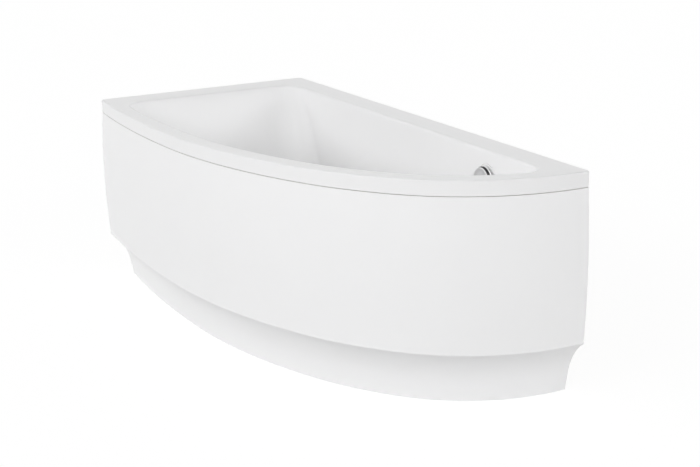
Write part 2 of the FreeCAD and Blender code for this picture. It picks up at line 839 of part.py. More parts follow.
def make_feet():
    """A stud and a pad at each end of each rail. The stud runs through two nuts that grip the rail, and at
    the front the upper nut also clamps the apron's strap."""
    nuts = []
    stud = size("stud_diameter") / 2
    pad_height, boss_height = size("foot_pad_height"), size("foot_boss_height")
    taper = size("foot_boss_taper")
    nut_low = board_under - size("rail_steel") - size("nut_height")
    for name, (x, y) in foot_places().items():
        pad_radius, boss = size("foot_pad_diameter") / 2, size("foot_boss_diameter") / 2
        profile = [(0, 0), (pad_radius, 0), (pad_radius, pad_height / 2), (boss + taper, pad_height),
                   (boss, pad_height + boss_height), (stud, pad_height + boss_height), (stud, pad_height),
                   (0, pad_height)]
        keep(turned(f"foot_pad_{name}", profile, x=x, y=y), f"foot_pad_{name}")
        keep(cylinder(f"foot_stud_{name}", stud, board_under + size("stud_stand") - pad_height, x, y, pad_height),
             f"foot_stud_{name}")
        nut_top = board_under + (size("strap_steel") if name.endswith("front") else 0)
        for side, level in (("low", nut_low), ("top", nut_top)):
            nut = doc.addObject("Part::Prism", f"nut_{name}_{side}")
            nut.Polygon = 6
            place(bind(nut, {"Circumradius": size("nut_width") / 2 / cosine(as_size(30)),
                             "Height": size("nut_height")}), x, y, level)
            bore = cylinder(f"nut_bore_{name}_{side}", stud + size("stud_clearance"), size("nut_height") + 2,
                            x, y, level - 1)
            nuts.append(bored(f"nut_{name}_{side}_bored", nut, [bore]))
    return keep(grouped("lock_nuts", nuts), "lock_nuts")


def make_straps():
    """Bent strip at the front of each rail: one leg on top of the rail, the other behind the plinth."""
    steel, strap = size("strap_steel"), size("strap_width")
    for rail in RAILS:
        body = new_body(f"apron_strap_{rail}")
        start = rail_fronts[rail]
        end = start + size("strap_overlap")
        low, top = size("strap_floor_gap"), board_under + steel
        side = [(start - steel, low), (start, low), (start, board_under), (end, board_under), (end, top),
                (start - steel, top)]
        sketch = new_sketch(body, f"strap_{rail}_side", "YZ_Plane", rail_places[rail] - strap / 2)
        pad(body, add_outline(sketch, side), strap)
        foot_x, foot_y = foot_places()[f"{rail}_front"]
        hole = add_circle(new_sketch(body, f"strap_{rail}_hole", "XY_Plane", board_under - 1), foot_x, foot_y,
                          size("stud_diameter") / 2 + size("stud_clearance"))
        pocket(body, hole, steel + 2, reverse=True)
        keep(body, f"apron_strap_{rail}")


def make_brackets():
    """Hooked wall brackets: the skirt of the rim sits on the shelf, in front of the hook."""
    steel, shelf = size("bracket_steel"), size("bracket_shelf")
    low, hook = skirt_foot - size("bracket_drop"), skirt_foot + size("bracket_hook")
    under = skirt_foot - steel
    hole = size("bracket_hole_diameter") / 2
    upper = under - size("bracket_hole_top")
    levels = (upper, upper - size("bracket_hole_spacing"))
    width = size("bracket_width")
    side = [(0, low), (steel, low), (steel, under), (shelf, under), (shelf, hook), (shelf - steel, hook),
            (shelf - steel, skirt_foot), (0, skirt_foot)]
    places = {"back_wide": wall_end + size("bracket_wide_inset"),
              "back_narrow": half_length - size("bracket_narrow_inset")}
    for name, along in places.items():
        body = new_body(f"wall_bracket_{name}")
        sketch = new_sketch(body, f"bracket_{name}_side", "YZ_Plane", along - width / 2)
        pad(body, add_outline(sketch, [(wall_back - depth, level) for depth, level in reversed(side)]), width)
        holes = new_sketch(body, f"bracket_{name}_holes", "XZ_Plane", -wall_back - 1)
        for level in levels:
            add_circle(holes, along, level, hole)
        pocket(body, holes, steel + 2, reverse=True)
        keep(body, f"wall_bracket_{name}")
    body = new_body("wall_bracket_end")
    along = wall_back - size("bracket_end_inset")
    sketch = new_sketch(body, "bracket_end_side", "XZ_Plane", -along - width / 2)
    pad(body, add_outline(sketch, [(wall_end + depth, level) for depth, level in side]), width)
    holes = new_sketch(body, "bracket_end_holes", "YZ_Plane", wall_end - 1)
    for level in levels:
        add_circle(holes, along, level, hole)
    pocket(body, holes, steel + 2, reverse=True)
    keep(body, "wall_bracket_end")


# ---- overflow --------------------------------------------------------------------------------------------

def make_overflow():
    """Face plate and rotary knob in the basin, gasket and drain housing behind the wall."""
    seat = {"x": overflow_x, "y": overflow_seat, "z": overflow_z, "axis": (1, 0, 0), "angle": 90}
    spindle = size("spindle_diameter") / 2
    bearing = spindle + size("spindle_clearance")
    plate, plate_radius = size("overflow_plate_thickness"), size("overflow_plate_diameter") / 2
    body = new_body("overflow_plate")
    profile = [(bearing, 0), (plate_radius, 0), (plate_radius, plate / 2), (plate_radius - plate / 2, plate),
               (bearing, plate)]
    revolve(body, add_outline(new_sketch(body, "overflow_plate_profile", "XZ_Plane"), profile,
                              {2: plate / 2}))
    slots = new_sketch(body, "overflow_slot", "XY_Plane", -1)
    add_circle(slots, size("overflow_slot_circle") / 2, 0, size("overflow_slot_diameter") / 2)
    first = pocket(body, slots, plate + 2, reverse=True)
    doc.recompute()
    ring = body.newObject("PartDesign::PolarPattern", "overflow_slots")
    ring.Originals = [first]
    ring.Axis = (slots, ["N_Axis"])
    ring.Angle = 360
    ring.Occurrences = 6
    body.Tip = ring
    keep(place(body, **seat), "overflow_plate")

    knob, start = size("overflow_knob_diameter") / 2, plate + size("overflow_knob_gap")
    face, edge = start + size("overflow_knob_thickness"), size("overflow_knob_round")
    inner_end = -(size("overflow_boss_depth") + size("gasket_thickness") + size("housing_depth") / 2)
    profile = [(0, inner_end), (spindle, inner_end), (spindle, start), (knob - edge / 2, start),
               (knob, start + edge / 2), (knob, face - edge), (knob - edge, face), (0, face)]
    keep(turned("overflow_knob", profile, {3: edge / 2, 5: edge}, **seat), "overflow_knob")

    back = -size("overflow_boss_depth")
    nipple = size("overflow_hole_diameter") / 2 - size("nipple_clearance")
    gasket_back = back - size("gasket_thickness")
    rim = size("housing_diameter") / 2
    profile = [(nipple + size("nipple_clearance"), gasket_back), (rim, gasket_back), (rim, back),
               (nipple + size("nipple_clearance"), back)]
    keep(turned("overflow_gasket", profile, **seat), "overflow_gasket")

    end = gasket_back - size("housing_depth")
    skin = size("housing_wall")
    body = new_body("overflow_housing")
    bore = nipple - size("nipple_wall")
    profile = [(0, end), (rim, end), (rim, gasket_back), (nipple, gasket_back), (nipple, 0), (bore, 0),
               (bore, gasket_back - skin), (rim - skin, gasket_back - skin), (rim - skin, end + skin),
               (0, end + skin)]
    revolve(body, add_outline(new_sketch(body, "housing_profile", "XZ_Plane"), profile))
    across = end + size("housing_depth") / 2
    spigot_top = rim - size("spigot_root")
    outer = add_circle(new_sketch(body, "spigot_outside", "XZ_Plane", spigot_top), 0, across,
                       size("spigot_diameter") / 2)
    pad(body, outer, size("spigot_drop") - spigot_top)
    inner = add_circle(new_sketch(body, "spigot_bore", "XZ_Plane", size("spigot_drop") + 1), 0, across,
                       size("spigot_diameter") / 2 - size("spigot_wall"))
    pocket(body, inner, size("spigot_drop") - rim + skin * 2)
    offset, gland_top = size("cable_offset"), rim - size("cable_offset") + skin * 2
    gland = add_circle(new_sketch(body, "cable_gland", "XZ_Plane", gland_top), offset, across,
                       size("cable_gland_diameter") / 2)
    pad(body, gland, size("cable_gland_drop") - gland_top)
    keep(place(body, **seat), "overflow_housing")


hose_y = derive("hose_y", overflow_boss_back + size("gasket_thickness") + size("housing_depth") / 2)
hose_top = derive("hose_top", overflow_z - size("spigot_drop"))
inlet_z = derive("inlet_z", floor_under - size("inlet_drop"))
waste_side = derive("waste_side", waste_y + size("waste_body_diameter") / 2)
inlet_end = derive("inlet_end", waste_side + size("union_length"))


def bent_tube(name, x, radius, bore, top, bend, low, near):
    """A tube that drops along the back wall and turns through one bend towards the waste."""
    body = new_body(name)
    path = new_sketch(body, name + "_route", "YZ_Plane", x)
    y = hose_y
    corners = [(y, top), (y, low + bend), (y - bend, low), (near, low)]
    points = [FreeCAD.Vector(as_size(a).value, as_size(b).value, 0) for a, b in corners]
    path.addGeometry(Part.LineSegment(points[0], points[1]), False)
    path.addGeometry(arc_between(points[2], points[1], bend.value), False)
    path.addGeometry(Part.LineSegment(points[2], points[3]), False)
    path.addConstraint([Sketcher.Constraint("Coincident", 0, 2, 1, 2),
                        Sketcher.Constraint("Coincident", 1, 1, 2, 1)])
    for edge, end, (a, b) in ((0, 1, corners[0]), (0, 2, corners[1]), (2, 1, corners[2]), (2, 2, corners[3])):
        fix_point(path, edge, end, a, b)
    fix_radius(path, 1, bend)
    section = new_sketch(body, name + "_section", "XY_Plane", top)
    add_circle(section, x, y, radius)
    if bore:
        add_circle(section, x, y, bore)
    pipe = body.newObject("PartDesign::AdditivePipe", name + "_pipe")
    pipe.Profile = section
    pipe.Spine = path
    return keep(body, name)


def make_hose_and_cable():
    outer = size("hose_diameter") / 2
    bent_tube("overflow_hose", overflow_x, outer, outer - size("hose_wall"), hose_top, size("hose_bend"), inlet_z,
              inlet_end)
    cable_x = overflow_x + size("cable_offset")
    cable_top = overflow_z - size("cable_gland_drop")
    bent_tube("control_cable", cable_x, size("cable_diameter") / 2, None, cable_top, size("cable_bend"),
              inlet_z, waste_y + size("cable_boss_reach"))
    grip, gap = size("union_diameter") / 2, size("union_clearance")
    length = size("union_length")
    for name, spot in (("top", {"x": overflow_x, "y": hose_y, "z": hose_top - length / 2}),
                       ("bottom", {"x": overflow_x, "y": inlet_end - length / 2, "z": inlet_z,
                                   "axis": (1, 0, 0), "angle": -90})):
        profile = [(outer + gap, 0), (grip, 0), (grip, length), (outer + gap, length)]
        keep(turned(f"hose_nut_{name}", profile, **spot), f"hose_nut_{name}")


# ---- waste and trap --------------------------------------------------------------------------------------

def make_waste():
    spot = {"x": overflow_x, "y": waste_y}
    bore = size("waste_bore") / 2
    ring = size("waste_flange_diameter") / 2
    rise = size("waste_flange_height")
    tube_foot = floor_top - size("waste_tube_drop")
    body = new_body("waste_flange")
    profile = [(bore, tube_foot), (waste_tube_radius, tube_foot), (waste_tube_radius, floor_top), (ring, floor_top),
               (ring - rise, floor_top + rise), (bore, floor_top + rise)]
    revolve(body, add_outline(new_sketch(body, "waste_flange_profile", "XZ_Plane"), profile, {3: rise}))
    hub, rib = size("hub_diameter") / 2, size("spider_rib")
    hub_level = tube_foot + size("hub_rise") - size("hub_height") / 2
    tip = bore + size("waste_tube_wall") / 2
    arm = [(0, -rib / 2), (tip, -rib / 2), (tip, rib / 2), (0, rib / 2)]
    arm_sketch = new_sketch(body, "spider_arm", "XY_Plane", hub_level)
    first = pad(body, add_outline(arm_sketch, arm), size("hub_height"))
    doc.recompute()
    arms = body.newObject("PartDesign::PolarPattern", "spider_arms")
    arms.Originals = [first]
    arms.Axis = (arm_sketch, ["N_Axis"])
    arms.Angle = 360
    arms.Occurrences = 3
    body.Tip = arms
    pad(body, add_circle(new_sketch(body, "spider_hub", "XY_Plane", hub_level), 0, 0, hub), size("hub_height"))
    guide = size("plug_stem_diameter") / 2 + size("guide_clearance")
    guide_sketch = add_circle(new_sketch(body, "spider_guide", "XY_Plane", hub_level - 1), 0, 0, guide)
    pocket(body, guide_sketch, size("hub_height") + 2, reverse=True)
    keep(place(body, **spot), "waste_flange")

    gap = size("waste_hole_clearance")
    collar = size("waste_collar_diameter") / 2
    inner = waste_tube_radius + gap
    gasket_rim = collar - size("waste_collar_lip")
    gasket_foot = floor_under - size("gasket_thickness")
    keep(turned("waste_gasket", [(inner, gasket_foot), (gasket_rim, gasket_foot), (gasket_rim, floor_under),
                                 (inner, floor_under)], **spot), "waste_gasket")

    shell = size("waste_body_diameter") / 2
    collar_foot = gasket_foot - size("waste_collar_height")
    body_foot = gasket_foot - size("waste_body_drop")
    slope = size("waste_body_slope")
    neck, neck_foot = size("trap_neck_diameter") / 2, trap_top - size("trap_socket")
    neck_bore = neck - size("trap_neck_wall")
    body = new_body("waste_body")
    profile = [(inner, gasket_foot), (inner, body_foot + slope), (neck_bore, body_foot), (neck_bore, neck_foot),
               (neck, neck_foot), (neck, body_foot - slope / 2), (shell, body_foot + slope / 2),
               (shell, collar_foot), (collar, collar_foot), (collar, gasket_foot)]
    revolve(body, add_outline(new_sketch(body, "waste_body_profile", "XZ_Plane"), profile))
    tube = size("hose_diameter") / 2
    reach = inlet_end - waste_y
    side = add_circle(new_sketch(body, "waste_inlet", "XZ_Plane", -reach), 0, inlet_z, tube)
    pad(body, side, reach - (inner + shell) / 2)
    side_bore = add_circle(new_sketch(body, "waste_inlet_bore", "XZ_Plane", -reach - 1), 0, inlet_z,
                           tube - size("hose_wall"))
    pocket(body, side_bore, reach - inner / 2, reverse=True)
    left, right = size("cable_offset") - size("cable_boss_width") / 2, size("cable_offset") + size("cable_boss_width") / 2
    low, high = inlet_z - size("cable_boss_width") / 2, inlet_z + size("cable_boss_width") / 2
    boss_sketch = add_outline(new_sketch(body, "cable_boss", "XZ_Plane", -size("cable_boss_reach")),
                              [(left, low), (right, low), (right, high), (left, high)])
    pad(body, boss_sketch, size("cable_boss_reach"))
    keep(place(body, **spot), "waste_body")

    clear = size("plug_clearance")
    seal_low = floor_top + rise + clear
    plug_low = seal_low + size("seal_thickness")
    plug, stem = size("plug_diameter") / 2, size("plug_stem_diameter") / 2
    top = plug_low + size("plug_height")
    edge_top = top - (size("plug_crown") - leg(size("plug_crown"), plug))
    stem_foot = plug_low - size("plug_stem_length")
    keep(turned("pop_up_plug", [(0, stem_foot), (stem, stem_foot), (stem, plug_low), (plug, plug_low),
                                (plug, edge_top), (0, top)], {4: size("plug_crown")}, **spot), "pop_up_plug")
    outer, inside = size("seal_outer") / 2, size("seal_inner") / 2
    keep(turned("plug_seal", [(inside, seal_low), (outer, seal_low), (outer, plug_low), (inside, plug_low)],
                **spot), "plug_seal")


trap_top = derive("trap_top", size("outlet_height") + size("trap_height") / 2)


def make_trap():
    """Shallow trap: union nut, cup with a side outlet, cleaning cap, and the pipe to the back wall."""
    spot = {"x": overflow_x, "y": waste_y}
    neck, cup = size("trap_neck_diameter") / 2, size("trap_diameter") / 2
    gap = size("union_clearance")
    nut = size("trap_nut_diameter") / 2
    neck_bore = neck - size("trap_neck_wall")
    level = size("outlet_height")
    cup_foot = level - size("trap_height") / 2
    nut_foot = trap_top - size("trap_nut_height") / 2
    lip = size("trap_cap_lip")
    profile = [(cup + gap, nut_foot), (nut, nut_foot), (nut, trap_top + lip), (neck + gap, trap_top + lip),
               (neck + gap, trap_top + gap), (cup + gap, trap_top + gap)]
    keep(turned("trap_nut", profile, **spot), "trap_nut")

    socket_foot = trap_top - size("trap_socket")
    skin = size("outlet_wall")
    body = new_body("trap_body")
    profile = [(0, cup_foot), (cup, cup_foot), (cup, trap_top), (neck + gap, trap_top),
               (neck + gap, socket_foot), (neck_bore, socket_foot), (neck_bore, cup_foot + skin),
               (0, cup_foot + skin)]
    revolve(body, add_outline(new_sketch(body, "trap_profile", "XZ_Plane"), profile))
    pipe = size("outlet_diameter") / 2
    start, socket = size("outlet_start"), size("outlet_socket_depth")
    stub = pipe + gap + size("outlet_socket_wall")
    side = add_circle(new_sketch(body, "trap_outlet", "XZ_Plane", -start), 0, level, pipe)
    pad(body, side, start - neck)
    bell = add_circle(new_sketch(body, "trap_outlet_bell", "XZ_Plane", -start), 0, level, stub)
    pad(body, bell, socket + skin)
    side_bore = add_circle(new_sketch(body, "trap_outlet_bore", "XZ_Plane", -start - 1), 0, level, pipe - skin)
    pocket(body, side_bore, start + 1 - neck_bore / 2, reverse=True)
    socket_bore = add_circle(new_sketch(body, "trap_outlet_socket", "XZ_Plane", -start - 1), 0, level, pipe + gap)
    pocket(body, socket_bore, socket + 1, reverse=True)
    keep(place(body, **spot), "trap_body")

    cap = size("trap_cap_diameter") / 2
    cap_foot = cup_foot - lip
    profile = [(0, cap_foot), (cap, cap_foot), (cap, cap_foot + size("trap_cap_height")),
               (cup + gap, cap_foot + size("trap_cap_height")), (cup + gap, cup_foot), (0, cup_foot)]
    keep(turned("trap_cap", profile, **spot), "trap_cap")

    joint = waste_y + start
    along = {"x": overflow_x, "z": level, "axis": (1, 0, 0), "angle": -90}
    first = joint - socket + gap
    length = wall_back - size("outlet_wall_gap") - first
    end = size("outlet_end_diameter") / 2
    end_start = length - size("outlet_end_length")
    cone_start = end_start - size("outlet_cone_length")
    profile = [(pipe - skin, 0), (pipe, 0), (pipe, cone_start), (end, end_start), (end, length),
               (end - skin, length), (end - skin, end_start), (pipe - skin, cone_start)]
    keep(turned("outlet_pipe", profile, y=first, **along), "outlet_pipe")
    grip, chamfer = size("outlet_nut_diameter") / 2, size("outlet_nut_round")
    reach, inside = size("outlet_nut_length"), size("outlet_nut_length") - size("outlet_nut_lip")
    profile = [(stub + gap, 0), (grip - chamfer, 0), (grip, chamfer), (grip, reach), (pipe + gap, reach),
               (pipe + gap, inside), (stub + gap, inside)]
    keep(turned("outlet_nut", profile, y=joint + gap - inside, **along), "outlet_nut")


def check_document():
    """Stops if any object failed, or if a sub-part isn't a sound solid."""
    doc.recompute()
    for thing in doc.Objects:
        if "Invalid" in thing.State or "Error" in thing.State:
            raise RuntimeError(f"{thing.Name} failed: {thing.State}")
    for thing in nodes:
        shape = thing.Shape
        if shape.isNull() or not shape.isValid() or not shape.Solids:
            raise RuntimeError(f"{thing.Label} isn't a sound solid")


def main():
    make_shell()
    make_apron()
    make_stiffeners()
    make_clips()
    make_board()
    make_rails()
    make_screws()
    make_feet()
    make_straps()
    make_brackets()
    make_overflow()
    make_hose_and_cable()
    make_waste()
    make_trap()
    check_document()
    os.makedirs("parts", exist_ok=True)
    for thing in nodes:
        thing.Shape.exportStep(f"parts/{thing.Label}.step")
        box = thing.Shape.BoundBox
        print(f"{thing.Label}: {len(thing.Shape.Solids)} solids, {thing.Shape.Volume / 1000:.1f} ml, "
              f"{box.XMin:.0f}..{box.XMax:.0f} {box.YMin:.0f}..{box.YMax:.0f} {box.ZMin:.0f}..{box.ZMax:.0f}")
    print(len(nodes), "nodes")


main()
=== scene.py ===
"""Offset corner bath: its finishes, added pieces, stage and camera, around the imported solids."""

import math

import bmesh
import bpy
from bpy.props import FloatProperty, FloatVectorProperty, PointerProperty
from mathutils import Matrix, Vector


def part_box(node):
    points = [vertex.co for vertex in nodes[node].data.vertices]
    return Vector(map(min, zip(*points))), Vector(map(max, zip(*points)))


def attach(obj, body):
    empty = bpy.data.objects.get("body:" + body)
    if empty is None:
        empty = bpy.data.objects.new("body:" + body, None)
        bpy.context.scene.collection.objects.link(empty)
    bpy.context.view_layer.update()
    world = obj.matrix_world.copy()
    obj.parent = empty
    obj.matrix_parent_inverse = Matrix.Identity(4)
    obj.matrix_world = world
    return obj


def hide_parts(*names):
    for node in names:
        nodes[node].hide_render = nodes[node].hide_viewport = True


bl_info = {
    "name": "Offset Corner Bath",
    "version": (1, 0, 0),
    "blender": (4, 5, 0),
    "location": "3D View > Sidebar > Bath",
    "description": "Finishes, added pieces and a studio for an offset corner bath",
    "category": "Object",
}

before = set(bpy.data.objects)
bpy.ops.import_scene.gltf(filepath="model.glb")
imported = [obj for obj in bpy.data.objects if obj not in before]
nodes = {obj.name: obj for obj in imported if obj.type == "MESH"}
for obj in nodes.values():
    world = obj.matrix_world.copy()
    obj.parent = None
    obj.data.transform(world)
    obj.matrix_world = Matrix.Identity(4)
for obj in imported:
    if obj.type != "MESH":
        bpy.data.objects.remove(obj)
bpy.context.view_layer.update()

ROOT = "bath"
KNOB = "overflow_knob"

MERGE_DISTANCE = 0.00001

# Turned pieces: (radius, height) points in millimetres, from the foot up. The dial's foot is its face in the bath.
DIAL_FACE = ((0, 1), (20, 1), (26, 0.5), (28.5, 0), (30.2, 0.2), (31.3, 1), (31.5, 2), (31.2, 3), (0, 3))
DIAL_HUB = ((0, 3), (30, 3), (32.6, 4.5), (32.6, 10), (6, 10), (6, 53), (0, 53))
DIAL_RING = ((7, 10), (33.4, 10), (34.5, 11), (34.5, 12.2), (33.8, 13), (7, 13), (7, 10))
COLLAR_LENGTH = 26
HOSE_COLLAR = (
    (16.3, 0), (20.8, 0), (22, 1.2), (22, 18.5), (20.5, 20), (20.5, COLLAR_LENGTH), (16.3, COLLAR_LENGTH), (16.3, 0),
)
TRAP_UNION = (
    (33.3, 0), (35.8, 0), (37, 1.2), (37, 11.8), (35.8, 13), (24.3, 13), (24.3, 9.3), (33.3, 9.3), (33.3, 0),
)
CLEANING_CAP = (
    (0, 1.5), (11, 1.5), (12.5, 0), (35.8, 0), (37, 1.2), (37, 11.8), (35.8, 13), (33.3, 13), (33.3, 4), (0, 4),
)
OUTLET_UNION = (
    (23.6, 0), (28.8, 0), (30, 1.2), (30, 22.8), (28.8, 24), (20.3, 24), (20.3, 20), (23.6, 20), (23.6, 0),
)

# Outer radius of the overflow hose and the radius of its bend, in metres.
HOSE_RADIUS = 0.016
HOSE_BEND = 0.060

# The band of light round the horizon: (sine of the elevation, share of its full strength).
LIGHT_BAND = ((0.0, 0.0), (0.14, 0.0), (0.29, 1.0), (0.42, 1.0), (0.59, 0.0))

LAMP_SIZE = 1.6
LAMP_PLACE = (1.15, -1.99, 2.28)
LAMP_TARGET = (0.0, 0.0, 0.35)

FLOOR_SIZE = 40
FLOOR_GLOW = 1.08

# Fitted to the photograph: angles in radians, shifts as shares of the picture's width.
CAMERA_PLACE = (2.9490, -1.4687, 1.2924)
CAMERA_YAW, CAMERA_PITCH, CAMERA_ROLL = -1.0730, 0.2694, -0.0189
CAMERA_SHIFT = (-0.0048, -0.0515)
CAMERA_SENSOR = 36
CAMERA_REACH = 200


# ---------------------------------------------------------------- nodes


class Value:
    """A number that changes over a surface, or a colour, vector or shader: the output socket of a node."""

    def __init__(self, laid, socket):
        self.laid = laid
        self.socket = socket

    def maths(self, operation, first, second):
        return self.laid.node("ShaderNodeMath", {"operation": operation}, {0: first, 1: second})

    def __add__(self, other):
        return self.maths("ADD", self, other)

    __radd__ = __add__

    def __rsub__(self, other):
        return self.maths("SUBTRACT", other, self)

    def __mul__(self, other):
        return self.maths("MULTIPLY", self, other)

    def __truediv__(self, other):
        return self.maths("DIVIDE", self, other)


class NodeTree:
    """The nodes of a material or a world while they are laid out."""

    def __init__(self, owner):
        owner.use_nodes = True
        self.tree = owner.node_tree

    def node(self, kind, settings=None, inputs=None, output=0):
        """Adds a node: its settings first, a ramp's stops among them, then its inputs as values or links."""
        made = self.tree.nodes.new(kind)
        for setting, value in (settings or {}).items():
            if setting == "stops":
                ramp = made.color_ramp
                while len(ramp.elements) < len(value):
                    ramp.elements.new(0.5)
                for element, (position, colour) in zip(ramp.elements, value):
                    element.position = position
                    element.color = (*colour, 1)
            else:
                setattr(made, setting, value)
        for socket, value in (inputs or {}).items():
            if isinstance(value, Value):
                self.tree.links.new(value.socket, made.inputs[socket])
            else:
                made.inputs[socket].default_value = value
        return Value(self, made.outputs[output])

    def link(self, value, node, socket):
        """Links a value into a node that the tree began with."""
        self.tree.links.new(value.socket, self.tree.nodes[node].inputs[socket])

    def seen_directly(self):
        """1 for camera, glossy and transmission rays, and 0 for those that light other things."""
        seen = self.node("ShaderNodeLightPath", output="Is Camera Ray")
        for ray in ("Is Glossy Ray", "Is Transmission Ray"):
            seen = seen.maths("MAXIMUM", seen, self.node("ShaderNodeLightPath", output=ray))
        return seen


class Finish(NodeTree):
    """A material while its nodes are laid out."""

    def __init__(self, name, **constants):
        self.material = bpy.data.materials.new(name)
        super().__init__(self.material)
        self.shader = self.tree.nodes["Principled BSDF"]
        for socket, value in constants.items():
            self.shader.inputs[socket.replace("_", " ")].default_value = value
        self.place = self.node("ShaderNodeTexCoord", output="Object")

    def feed(self, socket, value):
        """Links a value into the shader."""
        self.link(value, "Principled BSDF", socket)

    def noise(self, scale, detail=3, roughness=0.5, place=None):
        """Soft random values from 0 to 1; scale counts its lumps in a metre."""
        return self.node(
            "ShaderNodeTexNoise",
            inputs={"Vector": place or self.place, "Scale": scale, "Detail": detail, "Roughness": roughness},
            output="Fac",
        )

    def stretched(self, x, y, z, turn=(0, 0, 0)):
        """The place on the piece, scaled along each axis after a turn in radians."""
        return self.node(
            "ShaderNodeMapping", inputs={"Vector": self.place, "Rotation": turn, "Scale": (x, y, z)}, output="Vector"
        )

    def cells(self, scale, place=None):
        """Cells of random shape, each of one grey, scale of them to a metre."""
        tint = self.node(
            "ShaderNodeTexVoronoi", {"feature": "F1"}, {"Vector": place or self.place, "Scale": scale}, output="Color"
        )
        return self.node("ShaderNodeRGBToBW", inputs={"Color": tint})

    def between(self, value, low, high):
        """0 below low and 1 beyond high, with a soft step between them."""
        return self.node(
            "ShaderNodeMapRange",
            {"interpolation_type": "SMOOTHSTEP"},
            {"Value": value, "From Min": low, "From Max": high, "To Min": 0.0, "To Max": 1.0},
        )

    def colours(self, share, first, second):
        """One colour turning into another as share goes from 0 to 1."""
        first, second = (value if isinstance(value, Value) else (*value, 1) for value in (first, second))
        return self.node("ShaderNodeMix", {"data_type": "RGBA"}, {0: share, 6: first, 7: second}, output=2)

    def ramp(self, share, *stops):
        """A colour ramp of (position, colour) stops."""
        return self.node("ShaderNodeValToRGB", {"stops": stops}, {"Fac": share}, output="Color")

    def relief(self, height, depth):
        """Bumps the surface: height runs from 0 to 1 and depth is in metres."""
        bump = self.node("ShaderNodeBump", inputs={"Height": height, "Distance": depth, "Strength": 1.0})
        self.feed("Normal", bump)

    def facing(self, way):
        """How far the surface faces along an axis or a vector that changes over it."""
        normal = self.node("ShaderNodeNewGeometry", output="Normal")
        return self.node("ShaderNodeVectorMath", {"operation": "DOT_PRODUCT"}, {0: normal, 1: way}, output="Value")


# ---------------------------------------------------------------- materials


def glass_fibre_laminate(finish):
    """Colour and height of the resin and chopped strands that back a moulded shell."""
    strands = finish.noise(1, 2, 0.6, finish.stretched(420, 28, 60, (0, 0, 0.4)))
    crossing = finish.noise(1, 2, 0.6, finish.stretched(30, 380, 70, (0.5, 0, 0.2)))
    upright = finish.noise(1, 2, 0.6, finish.stretched(300, 300, 24, (0.3, 0.3, 0)))
    weave = (strands + crossing + upright) / 3
    cloud = finish.noise(9, 4)
    tint = finish.ramp(
        weave * 0.7 + cloud * 0.3,
        (0.36, (0.46, 0.43, 0.33)),
        (0.5, (0.60, 0.57, 0.47)),
        (0.64, (0.72, 0.70, 0.61)),
    )
    return tint, weave


def moulded_acrylic(name, colour, backed, centre, panel=False):
    """Cast sanitary acrylic, its hidden side backed with a laminate: on a panel that is the side towards the centre,
    and on a tub what faces down and away from it. backed is how much of the laminate's look shows."""
    finish = Finish(name, Specular_IOR_Level=0.22)
    haze = finish.noise(7, 3)
    gloss = finish.noise(60, 4)
    acrylic = finish.colours(haze, colour, [c * 0.985 for c in colour])
    tint, weave = glass_fibre_laminate(finish)
    outward = finish.node(
        "ShaderNodeVectorMath", {"operation": "SUBTRACT"}, {0: finish.place, 1: centre}, output="Vector"
    )
    side = finish.facing(outward)
    if panel:
        hidden = finish.between(side, 0.0, -0.02)
    else:
        hidden = finish.between(finish.facing((0, 0, 1)), -0.012, -0.035) * finish.between(side, 0.0, 0.02)
    finish.feed("Base Color", finish.colours(hidden * backed, acrylic, tint))
    finish.feed("Roughness", 0.27 + gloss * 0.05 + hidden * 0.33 * backed)
    waviness = finish.noise(3.2, 2)
    finish.relief(waviness * (1 - hidden) * 0.5 + weave * hidden * backed * 1.4, 0.0006)
    return finish.material


def plated_steel(name):
    """Bright zinc plating with faint crystals."""
    finish = Finish(name, Metallic=1.0)
    spangle = finish.cells(160)
    drawn = finish.noise(1, 3, 0.6, finish.stretched(700, 30, 30))
    finish.feed("Base Color", finish.colours(spangle * 0.5 + drawn * 0.5, (0.47, 0.48, 0.49), (0.68, 0.68, 0.67)))
    finish.feed("Roughness", 0.30 + spangle * 0.14 + drawn * 0.1)
    finish.relief(drawn, 0.0001)
    return finish.material


def threaded_steel(name, pitch=0.0015):
    """Zinc-plated rod with a rolled thread, pitch metres to a turn. Its colour has painted shade in the thread's
    roots and a painted highlight on its crests.
    """
    finish = Finish(name, Metallic=1.0)
    z = finish.node("ShaderNodeSeparateXYZ", inputs={"Vector": finish.place}, output="Z")
    # Thread height: it bumps the surface, and in the colour it is painted shade in the roots and a painted highlight
    # on the crests, with real dirt on top
    crest_and_root_shade = z.maths("PINGPONG", z, pitch / 2) / (pitch / 2)
    dirt = finish.noise(120, 3)
    finish.feed("Base Color", finish.colours(crest_and_root_shade * 0.8 + dirt * 0.2, (0.24, 0.24, 0.24), (0.66, 0.66, 0.64)))
    finish.feed("Roughness", 0.28 + dirt * 0.2)
    finish.relief(crest_and_root_shade, 0.0009)
    return finish.material


def chrome(name, colour, rough, metallic=1.0):
    """Plated metal with faint polishing marks, or a satin coat where it is less than metallic."""
    finish = Finish(name, Metallic=metallic)
    smudge = finish.noise(38, 4)
    polish = finish.noise(1, 2, 0.5, finish.stretched(900, 900, 60))
    finish.feed("Base Color", finish.colours(smudge, colour, [c * 0.9 for c in colour]))
    finish.feed("Roughness", rough + smudge * 0.06 + polish * 0.03)
    return finish.material


def moulded_plastic(name, colour, rough=0.4):
    """Injection moulded plastic with a fine grain and slight flow marks."""
    finish = Finish(name, Specular_IOR_Level=0.45)
    flow = finish.noise(24, 4, 0.6)
    fine = finish.noise(1400, 2)
    finish.feed("Base Color", finish.colours(flow, colour, [c * 0.86 for c in colour]))
    finish.feed("Roughness", rough + flow * 0.1 + fine * 0.06)
    finish.relief(fine, 0.00008)
    return finish.material


